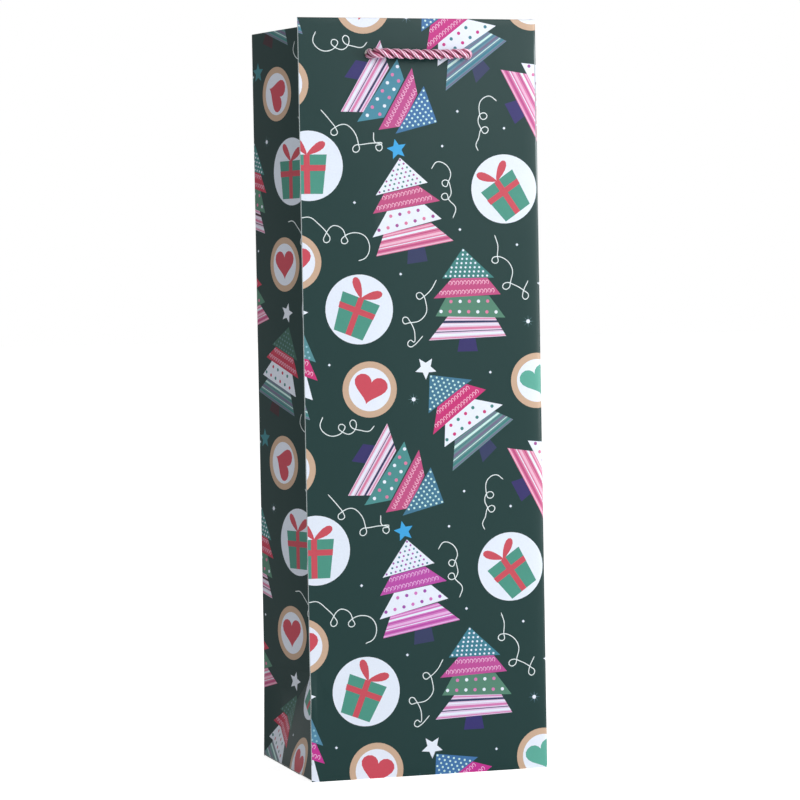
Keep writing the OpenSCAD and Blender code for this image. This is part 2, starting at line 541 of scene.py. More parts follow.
PINK_LOOPS = TierStyle(Ink.SCRIBBLE, Fill.SCRIBBLE, (Ink.PALE_PINK,))
MAGENTA_LOOPS = TierStyle(Ink.MAGENTA, Fill.SCRIBBLE, (Ink.PALE_PINK,))
RED_LOOPS = TierStyle(Ink.RED, Fill.SCRIBBLE, (Ink.PALE_PINK,))
PINK_STRIPES = TierStyle(Ink.PINK, Fill.STRIPES, (Ink.PALE_PINK, Ink.SCRIBBLE, Ink.WHITE))
LILAC_STRIPES = TierStyle(Ink.LILAC, Fill.STRIPES, (Ink.PINK, Ink.WHITE, Ink.SLATE))
TEAL_STRIPES = TierStyle(Ink.TEAL_GREY, Fill.STRIPES, (Ink.PLUM, Ink.TEAL, Ink.MINT))


@dataclass
class GiftWrapPrint:
    """The repeating print of the sheet, in millimetres: u to the right and v up."""

    repeat_u: float = 180.0
    repeat_v: float = 181.0
    motifs: list[list[Patch]] = field(default_factory=list)

    def __post_init__(self) -> None:
        """Lays out one repeat."""
        self.motifs = [*self.curls(), *self.sparkles(), *self.discs(), *self.trees()]

    def discs(self) -> list[list[Patch]]:
        """Gifts and hearts on their discs.

        Returns:
            The patches of each motif.
        """
        return [
            ring_heart((-3.9, 245.3), 0, Ink.HEART),
            ring_heart((-8.5, 328.9), -115, Ink.HEART),
            ring_heart((31.8, 184.7), -16, Ink.HEART),
            ring_heart((115.6, 187.0), 20, Ink.GREEN_HEART),
            gift((4.2, 290.4), 0),
            gift((27.4, 222.6), -21.5),
            gift((100.5, 279.0), 34.7),
        ]

    def trees(self) -> list[list[Patch]]:
        """Trees and their stars.

        Returns:
            The patches of each motif.
        """
        return [
            tree(
                [(36.5, 276.3, 62.2, 282.2, 48.7, 294, 48.7, 294),
                 (35, 267.7, 68.2, 273.5, 40.5, 277, 57.5, 280.8),
                 (34.6, 256.5, 68.8, 265, 41.9, 268.8, 60.4, 271.9),
                 (36.2, 247.5, 74.6, 254.5, 40, 257.9, 63.5, 263.2)],
                (WHITE_FINE, PINK_LOOPS, WHITE_DOTS, PINK_STRIPES),
                [(51.9, 251.2), (51.4, 243.7), (61.5, 245), (60, 252.4)], Ink.SLATE,
            ),
            star((47.3, 298), 5, Ink.BLUE_STAR, 12),
            tree(
                [(68.6, 236.7, 94.6, 236.7, 79.2, 250.9, 79.2, 250.9),
                 (64.2, 227.2, 97.8, 228.7, 73.5, 236.7, 91.2, 236.7),
                 (65, 218.7, 100, 217.5, 70.5, 227.9, 91.9, 228.2),
                 (61.5, 207.3, 100.2, 208.7, 71.2, 218.7, 94.6, 218)],
                (TEAL_FINE, PINK_LOOPS, GREEN_DOTS, LILAC_STRIPES),
                [(76.9, 208.2), (75.6, 201.7), (85.8, 201.7), (84.6, 208.5)], Ink.VIOLET,
            ),
            tree(
                [(60.6, 172.7, 82.5, 188.1, 61.5, 190.9, 61.5, 190.9),
                 (62.7, 162.5, 89.5, 183.2, 65, 175.5, 79.5, 186.2),
                 (68.3, 156.4, 97.9, 175.8, 68.8, 167.2, 83.8, 178.8),
                 (72.1, 144.8, 103.1, 168.6, 73.5, 159.4, 93.5, 173)],
                (BLUE_FINE, MAGENTA_LOOPS, WHITE_TEAL_DOTS, TEAL_STRIPES),
                [(85.4, 155.5), (87.3, 148.5), (94.5, 155.4), (90.5, 160)], Ink.SLATE,
            ),
            star((59.6, 194.2), 5.5, Ink.STAR, 36),
            tree(
                [(61.2, 146.9, 46.8, 124.4, 67.5, 129.8, 67.5, 129.8),
                 (55.5, 155.5, 38.5, 126.2, 58, 143.1, 50, 127.9),
                 (48.3, 159.6, 28.1, 130, 51.5, 150, 41.3, 132),
                 (40, 168.5, 20.2, 134.8, 44.2, 155.4, 31.2, 134.6)],
                (BLUE_FINE, PINK_LOOPS, SEA_DOTS, LILAC_STRIPES),
                [(34.6, 158), (28, 159), (22.3, 151), (30.4, 149.6)], Ink.VIOLET,
            ),
            plain_tree((109.6, 317.6), -62, 1.07,
                       (TEAL_FINE, PINK_LOOPS, WHITE_DOTS, PINK_STRIPES), Ink.VIOLET),
            plain_tree((-14.5, 177), -19.6, 0.93,
                       (SEA_FINE, MAGENTA_LOOPS, WHITE_TEAL_DOTS, TEAL_STRIPES), Ink.SLATE),
            star((-2.4, 221.5), 5, Ink.STAR, -17),
            plain_tree((-40.5, 265.3), -13, 0.98,
                       (TEAL_FINE, RED_LOOPS, GREEN_DOTS, LILAC_STRIPES), Ink.SLATE),
            star((-26, 340.5), 5, Ink.TEAL_STAR),
            star((121.5, 233), 5, Ink.STAR, 8),
            plain_tree((-36.5, 214.5), 14, 0.9,
                       (TEAL_FINE, MAGENTA_LOOPS, GREEN_DOTS, PINK_STRIPES), Ink.VIOLET),
        ]

    def curls(self) -> list[list[Patch]]:
        """Loose white curls.

        Returns:
            The patches of each motif.
        """
        r = 1.45
        routes = [
            [(8.7, 353.3), (7.3, 349), (12, 344.3), (18.5, 346.5), (17.5, 348.3, r), (22, 345),
             (23.2, 350.2, r), (27, 346.5), (31.5, 346.2), (33.7, 348.5)],
            [(10.5, 316.7), (15, 311.5), (17.8, 307.6), (16.5, 306, r), (22, 309.8), (27, 305.5),
             (28.5, 300.5), (27, 298, r), (30, 300.3), (36, 301), (40, 300.6), (38.6, 298.6, r),
             (36.5, 301.5), (36, 306)],
            [(97.5, 321), (94, 323.3), (89.5, 321), (88.7, 316), (91.2, 313.8, r), (88, 311),
             (89, 308.5), (91.7, 307.3, r), (88, 303), (86.7, 300), (87.8, 297.2)],
            [(64.2, 288.7), (67, 292), (71, 291), (73.8, 286), (72.5, 282.5), (70.7, 282, r),
             (73.5, 280), (73.8, 277), (70.3, 275.5, r), (72.5, 274.3), (76, 270), (74.5, 265.3)],
            [(0, 266), (4, 266.3), (8.5, 263), (12.6, 258.5), (12, 255.6, r), (16, 262.3),
             (20, 260.5), (21.6, 256.6), (20.6, 255, r), (25, 258.8), (31, 257), (33, 251.5),
             (31, 247), (27.5, 245.5)],
            [(95.3, 257), (96.8, 252), (96.5, 247), (95, 245, r), (101, 245), (104, 240),
             (103, 235), (100.2, 232.4, r), (105, 233), (110, 230), (110.3, 227.4, r),
             (111.8, 235)],
            [(65.7, 236), (63, 231.5), (59, 228), (56.9, 228.8, r), (60.3, 225), (60.5, 221),
             (57, 216.8), (51.5, 215.8), (49.9, 217.3, r), (54.5, 210), (53.8, 206.6),
             (52.2, 205.8, r), (58.5, 209.5)],
        ]
        return [curl(route) for route in routes]

    def sparkles(self) -> list[list[Patch]]:
        """Bright dots between the motifs.

        Returns:
            The patches of each motif.
        """
        small = [(26, 273), (77.7, 316), (101, 308), (69.8, 299.5), (77.9, 259.8), (106.5, 252.3),
                 (48, 239), (12.3, 196.7), (91.9, 191.5), (-29, 252.5), (-60, 330), (-52, 196)]
        big = [(111.5, 215.5), (53.3, 179.5), (-18.7, 306)]
        return [sparkle(p) for p in small] + [sparkle(p, True) for p in big]

    def patches(self, low: Point, high: Point) -> list[Patch]:
        """Copies of the motifs that reach into a window of the sheet.

        Args:
            low: Lowest u and v of the window.
            high: Highest u and v of the window.

        Returns:
            Patches in painting order, with their parents' places in the list.
        """
        out: list[Patch] = []
        for motif in self.motifs:
            spans = []
            for axis, repeat in enumerate((self.repeat_u, self.repeat_v)):
                values = [p[axis] for patch in motif for p in patch.outline]
                first = math.ceil((low[axis] - max(values)) / repeat)
                last = math.floor((high[axis] - min(values)) / repeat)
                spans.append([k * repeat for k in range(first, last + 1)])
            for du, dv in product(*spans):
                start = len(out)
                for patch in motif:
                    moved = [(u + du, v + dv) for u, v in patch.outline]
                    parent = None if patch.parent is None else start + patch.parent
                    out.append(Patch(moved, patch.ink, parent))
        return out


# Inks that take a painted bluish sheen in the walls' bands, a little or fully.
WARM_INKS = {Ink.PINK, Ink.PALE_PINK, Ink.SCRIBBLE, Ink.MAGENTA, Ink.LILAC, Ink.PURPLE, Ink.VIOLET}
COLD_INKS = {Ink.TEAL, Ink.BLUE_TEAL, Ink.TEAL_GREY, Ink.SEA, Ink.FADED_TEAL}
FOOT_BAND_TOP, LOW_BAND_TOP, HIGH_BAND_FOOT, BAND_BLUR = 62, 125, 298, 15
# Painted shade: darker, warmer copies of some inks for the side panels, in place of the walls'
# ones.
SHADED_SIDE_INKS = {
    Ink.MAGENTA: Ink.RED, Ink.FADED_TEAL: Ink.DARK_GREEN, Ink.PALE_TEAL: Ink.TEAL_GREY,
    Ink.SLATE: Ink.MAROON,
}


def to_linear(byte: float) -> float:
    """One sRGB byte as a linear value."""
    c = byte / 255
    return c / 12.92 if c <= 0.04045 else ((c + 0.055) / 1.055) ** 2.4


def colour_with_painted_light(ink: Ink, v: float, on_side: bool) -> tuple[float, ...]:
    """An ink's linear colour at a height on the sheet, with painted light: a bluish sheen in two
    bands of the walls and shade on the side panels.

    Args:
        ink: The ink.
        v: Height on the sheet.
        on_side: Whether it is printed on a side panel, whose inks take a painted shade.

    Returns:
        Red, green, blue and alpha.
    """
    if on_side:
        # Side panels take the shaded copies of some inks: painted shade.
        ink = SHADED_SIDE_INKS.get(ink, ink)
    r, g, b = (to_linear(x) for x in ink.value)
    if on_side or ink not in WARM_INKS | COLD_INKS:
        return (r, g, b, 1.0)
    # Painted bluish sheen of the film, in the low and high bands of the walls.
    low_band = min(1.0, max(0.0, (LOW_BAND_TOP - v) / BAND_BLUR))
    high_band = min(1.0, max(0.0, (v - HIGH_BAND_FOOT) / BAND_BLUR))
    if ink in WARM_INKS:
        low_band *= 0.85 if v > FOOT_BAND_TOP else 0.45
        high_band *= 0.25
    painted_sheen = max(low_band, high_band) * (max(r, g, b) - min(r, g, b))
    return (r * (1 - 0.22 * painted_sheen), g * (1 - 0.25 * painted_sheen), min(1.0, b + 0.42 * painted_sheen), 1.0)


# --- mesh helpers ---


def only(obj: Object) -> None:
    """Makes obj the one selected and active object.

    Args:
        obj: The object to work on.
    """
    bpy.ops.object.select_all(action="DESELECT")
    obj.select_set(True)
    bpy.context.view_layer.objects.active = obj


def new_object(name: str, vertices: list, faces: list, materials: list) -> Object:
    """A mesh object from vertices in metres and faces.

    Args:
        name: Name of the object and its mesh.
        vertices: Vertices in metres.
        faces: Each face's vertices.
        materials: Materials in slot order.

    Returns:
        The object, linked into the scene.
    """
    mesh = bpy.data.meshes.new(name)
    mesh.from_pydata([tuple(v) for v in vertices], [], faces)
    for m in materials:
        mesh.materials.append(m)
    obj = bpy.data.objects.new(name, mesh)
    bpy.context.collection.objects.link(obj)
    return obj


def settle(obj: Object) -> None:
    """Applies an object's place, turn and size to its mesh."""
    only(obj)
    bpy.ops.object.transform_apply(location=True, rotation=True, scale=True)


@dataclass
class CutSheet:
    """A flat sheet cut into triangles along its print."""

    points: list[Point]
    triangles: list[tuple[int, ...]]
    inks: list[Ink]


def cut_sheet(outline: Loop, holes: list[Loop], lines: list[tuple[Point, Point]],
              patches: list[Patch], spacing: float) -> CutSheet:
    """Cuts a sheet along its outline, holes, bend lines and printed patches.

    Args:
        outline: The sheet's outline.
        holes: Loops that are punched out.
        lines: Bend lines that get a row of edges.
        patches: The print, in painting order.
        spacing: Distance between the extra points that let the sheet bulge.

    Returns:
        The triangles inside the outline and outside the holes, each with its ink.
    """
    points: list[Vector] = []
    faces: list[list[int]] = []
    for loop in (outline, *holes, *(p.outline for p in patches)):
        start = len(points)
        points += [Vector(p) for p in (loop if signed_area(loop) >= 0 else reversed(loop))]
        faces.append(list(range(start, len(points))))
    edges = [(len(points) + 2 * i, len(points) + 2 * i + 1) for i in range(len(lines))]
    points += [Vector(end) for line in lines for end in line]
    (left, right), (foot, head) = ((min(x), max(x)) for x in zip(*outline))
    for i in range(1, int((right - left) / spacing)):
        for j in range(1, int((head - foot) / spacing)):
            points.append(Vector((left + i * spacing, foot + j * spacing)))
    flat, _, triangles, _, _, origins = delaunay_2d_cdt(points, edges, faces, 1, 1e-4, True)
    kept, inks = [], []
    first = 1 + len(holes)
    for triangle, found in zip(triangles, map(set, origins)):
        if 0 not in found or any(h in found for h in range(1, first)):
            continue
        ink = Ink.GROUND
        for face in sorted((f for f in found if f >= first), reverse=True):
            patch = patches[face - first]
            if patch.parent is None or patch.parent + first in found:
                ink = patch.ink
                break
        kept.append(triangle)
        inks.append(ink)
    used = sorted({i for triangle in kept for i in triangle})
    place = {old: new for new, old in enumerate(used)}
    moved = [tuple(place[i] for i in triangle) for triangle in kept]
    return CutSheet([tuple(flat[i]) for i in used], moved, inks)


# --- finishes ---


def put(node: Node, values: dict) -> Node:
    """Sets a node's own input values by name.

    Args:
        node: The node.
        values: Values by the names of the inputs.

    Returns:
        The same node.
    """
    for name, value in values.items():
        node.inputs[name].default_value = value
    return node


def add(graph: NodeTree, kind: str, values: dict, **settings: object) -> Node:
    """A new shader node with its settings and its input values.

    Args:
        graph: Node tree to add to.
        kind: The node's type without its prefix.
        values: Values by the names of the inputs.
        settings: The node's own settings.

    Returns:
        The node.
    """
    node = graph.nodes.new(f"ShaderNode{kind}")
    for name, value in settings.items():
        setattr(node, name, value)
    return put(node, values)


def link(graph: NodeTree, *pairs: tuple[NodeSocket, NodeSocket]) -> None:
    """Joins outputs to inputs.

    Args:
        graph: Node tree of the sockets.
        pairs: Each output with its input.
    """
    for out, into in pairs:
        graph.links.new(out, into)


def mottle_group() -> NodeTree:
    """Group "paper_mottle": soft large waves and fine grain of a paper surface, 0 to 1.

    Returns:
        The group.
    """
    group = bpy.data.node_groups.new("paper_mottle", "ShaderNodeTree")
    inside, outside = group.nodes.new("NodeGroupInput"), group.nodes.new("NodeGroupOutput")
    coords = add(group, "TexCoord", {})
    for name, scale, detail in (("Wave", 14.0, 2.0), ("Grain", 900.0, 3.0)):
        for title, way in ((f"{name} Scale", "INPUT"), (name, "OUTPUT")):
            made = group.interface.new_socket(name=title, in_out=way, socket_type="NodeSocketFloat")
            if way == "INPUT":
                made.default_value = scale
        noise = add(group, "TexNoise", {"Detail": detail, "Roughness": 0.5})
        link(group, (coords.outputs["Object"], noise.inputs["Vector"]),
             (inside.outputs[f"{name} Scale"], noise.inputs["Scale"]),
             (noise.outputs["Fac"], outside.inputs[name]))
    return group


def mottle_node(graph: NodeTree, mottle: NodeTree, wave: float, grain: float) -> Node:
    """The shared group in a material, with the scales of its waves and grain."""
    return add(graph, "Group", {"Wave Scale": wave, "Grain Scale": grain}, node_tree=mottle)


def camera_share(graph: NodeTree, others: float, camera: float, into: NodeSocket) -> None:
    """Feeds one value to rays from the camera and another to all other rays.

    Args:
        graph: Node tree to add to.
        others: Value for all other rays.
        camera: Value for rays from the camera.
        into: The input that is fed.
    """
    rays = add(graph, "LightPath", {})
    share = add(graph, "MapRange", {"To Min": others, "To Max": camera})
    link(graph, (rays.outputs["Is Camera Ray"], share.inputs["Value"]),
         (share.outputs["Result"], into))


def start_material(name: str, values: dict) -> tuple[Material, NodeTree, Node]:
    """A new material, its node tree and its Principled node with its values.

    Args:
        name: The material's name.
        values: The node's values by name.

    Returns:
        The material, its tree and the node.
    """
    material = bpy.data.materials.new(name)
    material.use_nodes = True
    graph = material.node_tree
    return material, graph, put(graph.nodes["Principled BSDF"], values)


@dataclass(frozen=True)
class LaminateFinish:
    """Printed paper under a matt film: the ink colour, with painted shade, sheen and highlight,
    comes from the mesh.
    """

    name: str = "printed_laminate"
    roughness: float = 0.36
    specular: float = 0.24

    def build(self, mottle: NodeTree) -> Material:
        """Makes the material.

        Args:
            mottle: The shared group.

        Returns:
            The material.
        """
        material, graph, shader = start_material(self.name, {
            "Roughness": self.roughness, "Specular IOR Level": self.specular,
        })
        ink = add(graph, "VertexColor", {}, layer_name="Ink")
        surface = mottle_node(graph, mottle, 16.0, 1500.0)
        tint = add(graph, "Mix", {"Factor": 1.0}, data_type="RGBA", blend_type="MULTIPLY")
        shade = add(graph, "MapRange", {"To Min": 0.93, "To Max": 1.05})
        bump = add(graph, "Bump", {"Strength": 0.10, "Distance": 0.004})
        link(graph, (surface.outputs["Grain"], shade.inputs["Value"]),
             (ink.outputs["Color"], tint.inputs["A"]),
             (shade.outputs["Result"], tint.inputs["B"]),
             (tint.outputs["Result"], shader.inputs["Base Color"]),
             (surface.outputs["Wave"], bump.inputs["Height"]),
             (bump.outputs["Normal"], shader.inputs["Normal"]))
        return material


@dataclass(frozen=True)
class PlainSheetFinish:
    """Bare paper or board with a little grain."""

    name: str
    light: Triple
    dark: Triple
    grain: float = 700.0
    roughness: float = 0.8

    def build(self, mottle: NodeTree) -> Material:
        """Makes the material.

        Args:
            mottle: The shared group.

        Returns:
            The material.
        """
        material, graph, shader = start_material(self.name, {"Roughness": self.roughness})
        surface = mottle_node(graph, mottle, 40.0, self.grain)
        shades = {"A": (*self.dark, 1.0), "B": (*self.light, 1.0)}
        mix = add(graph, "Mix", shades, data_type="RGBA")
        link(graph, (surface.outputs["Grain"], mix.inputs["Factor"]),
             (mix.outputs["Result"], shader.inputs["Base Color"]))
        return material


@dataclass(frozen=True)
class SatinCordFinish:
    """Shiny pink thread, with a painted highlight on the crowns of the plies and painted shade in
    the grooves.
    """

    name: str = "pink_satin"
    painted_highlight: Triple = (1.0, 0.70, 0.88)
    flank: Triple = (0.52, 0.09, 0.20)
    painted_groove_shade: Triple = (0.08, 0.003, 0.02)

    def build(self) -> Material:
        """Makes the material.

        Returns:
            The material.
        """
        material, graph, shader = start_material(self.name, {
            "Roughness": 0.32, "Specular IOR Level": 0.45, "Sheen Weight": 0.08,
        })
        depth = add(graph, "Attribute", {}, attribute_name="PaintedShading")
        # The ramp paints shade in the grooves and a highlight on the crowns, over the thread's own
        # pink.
        ramp = add(graph, "ValToRGB", {})
        stops = ramp.color_ramp.elements
        stops[0].position, stops[0].color = 0.12, (*self.painted_groove_shade, 1.0)
        stops[1].position, stops[1].color = 0.95, (*self.painted_highlight, 1.0)
        stops.new(0.5).color = (*self.flank, 1.0)
        link(graph, (depth.outputs["Fac"], ramp.inputs["Fac"]),
             (ramp.outputs["Color"], shader.inputs["Base Color"]))
        return material


@dataclass(frozen=True)
class Finishes:
    """Every finish of the bag."""

    laminate: Material
    paper: Material
    card: Material
    board: Material
    satin: Material
    ground: Material


def build_finishes() -> Finishes:
    """Makes the finishes and the node group that they share.

    Returns:
        Every finish of the bag.
    """
    mottle = mottle_group()
    paper = PlainSheetFinish("white_paper", (0.86, 0.86, 0.84), (0.74, 0.74, 0.72))
    card = PlainSheetFinish("mouth_card", (0.72, 0.70, 0.66), (0.56, 0.54, 0.50), 500.0)
    board = PlainSheetFinish("grey_board", (0.42, 0.39, 0.35), (0.22, 0.20, 0.18), 420.0)
    ground = PlainSheetFinish(
        "plain_print", (0.024, 0.044, 0.041), (0.019, 0.037, 0.034), 900.0, 0.45
    )
    return Finishes(
        laminate=LaminateFinish().build(mottle), paper=paper.build(mottle),
        card=card.build(mottle), board=board.build(mottle),
        satin=SatinCordFinish().build(), ground=ground.build(mottle),
    )


# --- the folded sheet ---


SHEET_GAP = 0.02  # kept free behind each panel
POINT_SPACING = 7.0  # distance between the free points of a panel
ROLL_POWER = 22  # how late a wall turns towards its rolled corner
RUFFLE_TOP = 70  # height under which a side panel is wavy
LIFT_FOOT, LIFT_TOP = 30, 58  # where the front's cut edge stands off


@dataclass
class Facet:
    """One panel of the printed sheet between its creases.

    The panel's own a runs to the right and b up, seen from outside, in millimetres.
    """

    name: str
    body: str
    nodes: tuple[str, ...]
    outline: Loop
    origin: Vector
    along: Vector
    up: Vector
    shift: float
    bulge: float = 0.0
    holes: list[Loop] = field(default_factory=list)
    fold_radius: float = 0.0
    top: float = 360.0
    roll: float = 0.0
    roll_at: float = 0.0
    lift: float = 0.0
    ruffle: float = 0.0
    # Loops of scuffs and of painted highlight, printed in one light grey.
    scuffs_and_highlights: list[Loop] = field(default_factory=list)
    on_side: bool = False

    def outward(self) -> Vector:
        """The direction out of the bag."""
        return self.along.cross(self.up).normalized()

    def limits(self) -> tuple[Point, Point]:
        """Lowest and highest a, and lowest and highest b, of the outline."""
        return tuple((min(x), max(x)) for x in zip(*self.outline))

    def middle_share(self, a: float, b: float) -> float:
        """For a triangle, 1 at its middle and 0 along its three edges.

        Args:
            a: Place to the right.
            b: Place up.

        Returns:
            The share.
        """
        edges = zip(self.outline, (self.outline[-1], *self.outline))
        areas = [abs(signed_area([(a, b), p, q])) for p, q in edges]
        return 27 * math.prod(areas) / abs(signed_area(self.outline)) ** 3

    def level(self, a: float, b: float) -> float:
        """How far the paper stands out of its plane.

        Args:
            a: Place to the right.
            b: Place up.

        Returns:
            The distance in millimetres.
        """
        if len(self.outline) == 3:
            return self.bulge * self.middle_share(a, b)
        (left, right), (foot, _) = self.limits()
        s = min(1.0, max(0.0, (a - left) / (right - left)))
        t = min(1.0, max(0.0, (b - foot) / (self.top - foot))) if self.fold_radius else 0.5
        arch = math.sin(math.pi * s)
        across = 1 - (2 * s - 1) ** ROLL_POWER if self.roll and s > 0.5 else arch
        out = self.bulge * across * (0.35 + 0.65 * math.sin(math.pi * t) ** 0.5)
        if self.ruffle and b < RUFFLE_TOP:
            calm = arch * min(1.0, b / 12) * (1 - b / RUFFLE_TOP)
            waves = math.sin(0.33 * a + 0.09 * b) * math.cos(0.21 * b + 0.05 * a)
            out += self.ruffle * calm * waves
        if self.lift and LIFT_FOOT < b < LIFT_TOP:
            share = (b - LIFT_FOOT) / (LIFT_TOP - LIFT_FOOT)
            out += self.lift * math.sin(math.pi * share) ** 2 * math.exp(-a / 5)
        return out

    def place(self, a: float, b: float) -> Vector:
        """The point in metres of the outer face at a, b.

        Args:
            a: Place to the right.
            b: Place up the flat sheet.

        Returns:
            The point after every bend.
        """
        side, height, inward, radius = a, b, 0.0, self.fold_radius
        straight = self.top - radius
        if radius and b > straight:
            turn = min(math.pi, (b - straight) / radius)
            inward = radius - radius * math.cos(turn)
            height = straight + radius * math.sin(turn)
            if turn >= math.pi:
                height -= b - straight - math.pi * radius
        if self.roll and a > self.roll_at and b < self.top + self.roll:
            turn = (a - self.roll_at) / self.roll
            side = self.roll_at + self.roll * math.sin(turn)
            inward += self.roll * (1 - math.cos(turn))
        out = self.level(a, min(b, height)) - inward
        return (self.origin + self.along * side + self.up * height + self.outward() * out) * MM

    def bend_lines(self) -> list[tuple[Point, Point]]:
        """Rows of edges where the sheet turns over at the mouth or at a rolled corner.

        Returns:
            The two ends of each row.
        """
        (left, right), _ = self.limits()
        lines = []
        if self.fold_radius:
            for k in range(9):
                b = self.top - self.fold_radius + self.fold_radius * math.pi * k / 8
                lines.append(((left, b), (right, b)))
        if self.roll:
            beside = [right - d for d in (12.0, 9.0, 7.0, 5.5, 4.3, 3.2, 2.2)]
            rolled = [self.roll_at + (right - self.roll_at) * k / 5 for k in range(5)]
            lines += [((a, 0.0), (a, self.top)) for a in beside + rolled]
        if self.lift:
            lines += [((a, 22.0), (a, 64.0)) for a in (1.5, 3.5, 7.0, 12.0)]
        return lines

    def paint_corner_colours(self, obj: Object, sheet: CutSheet) -> None:
        """Gives each corner of the panel's mesh the colour of its triangle's ink, with its painted
        shade and sheen.

        Args:
            obj: The panel's object.
            sheet: The cut sheet it is made of.
        """
        colours = obj.data.color_attributes.new("Ink", "FLOAT_COLOR", "CORNER")
        values: list[float] = []
        for corners, ink in zip(sheet.triangles, sheet.inks):
            v = sum(sheet.points[i][1] for i in corners) / 3
            values += colour_with_painted_light(ink, v, self.on_side) * 3
        colours.data.foreach_set("color", values)
        obj.data.color_attributes.active_color = colours

    def build(self, pattern: GiftWrapPrint, finishes: Finishes, paper: float) -> None:
        """Cuts, prints and bends the panel and gives it its thickness.

        Args:
            pattern: The sheet's print.
            finishes: The bag's finishes.
            paper: Thickness of the sheet.
        """
        (left, right), (foot, head) = self.limits()
        window = pattern.patches((left + self.shift, foot), (right + self.shift, head))
        patches = [
            Patch([(u - self.shift, v) for u, v in p.outline], p.ink, p.parent) for p in window
        ]
        # Scuffs on the cut edge and a painted highlight strip on the rolled corner go over the
        # print.
        patches += [Patch(loop, Ink.SCUFFED) for loop in self.scuffs_and_highlights]
        sheet = cut_sheet(self.outline, self.holes, self.bend_lines(), patches, POINT_SPACING)
        obj = new_object(self.name, [self.place(a, b) for a, b in sheet.points], sheet.triangles,
                         [finishes.laminate, finishes.paper])
        self.paint_corner_colours(obj, sheet)
        only(obj)
        wall = obj.modifiers.new("paper thickness", "SOLIDIFY")
        wall.thickness = (paper - SHEET_GAP) * MM
        wall.offset = -1
        wall.material_offset = 1
        wall.material_offset_rim = 0
        bpy.ops.object.modifier_apply(modifier=wall.name)
        bpy.ops.object.shade_smooth_by_angle(angle=math.radians(40))
        if self.lift:
            for polygon in obj.data.polygons:
                if polygon.normal.x < -0.8 and polygon.material_index == 0:
                    polygon.material_index = 1
        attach(obj, self.body)
        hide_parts(*self.nodes)
        LOG.info("%s: %d faces", self.name, len(obj.data.polygons))


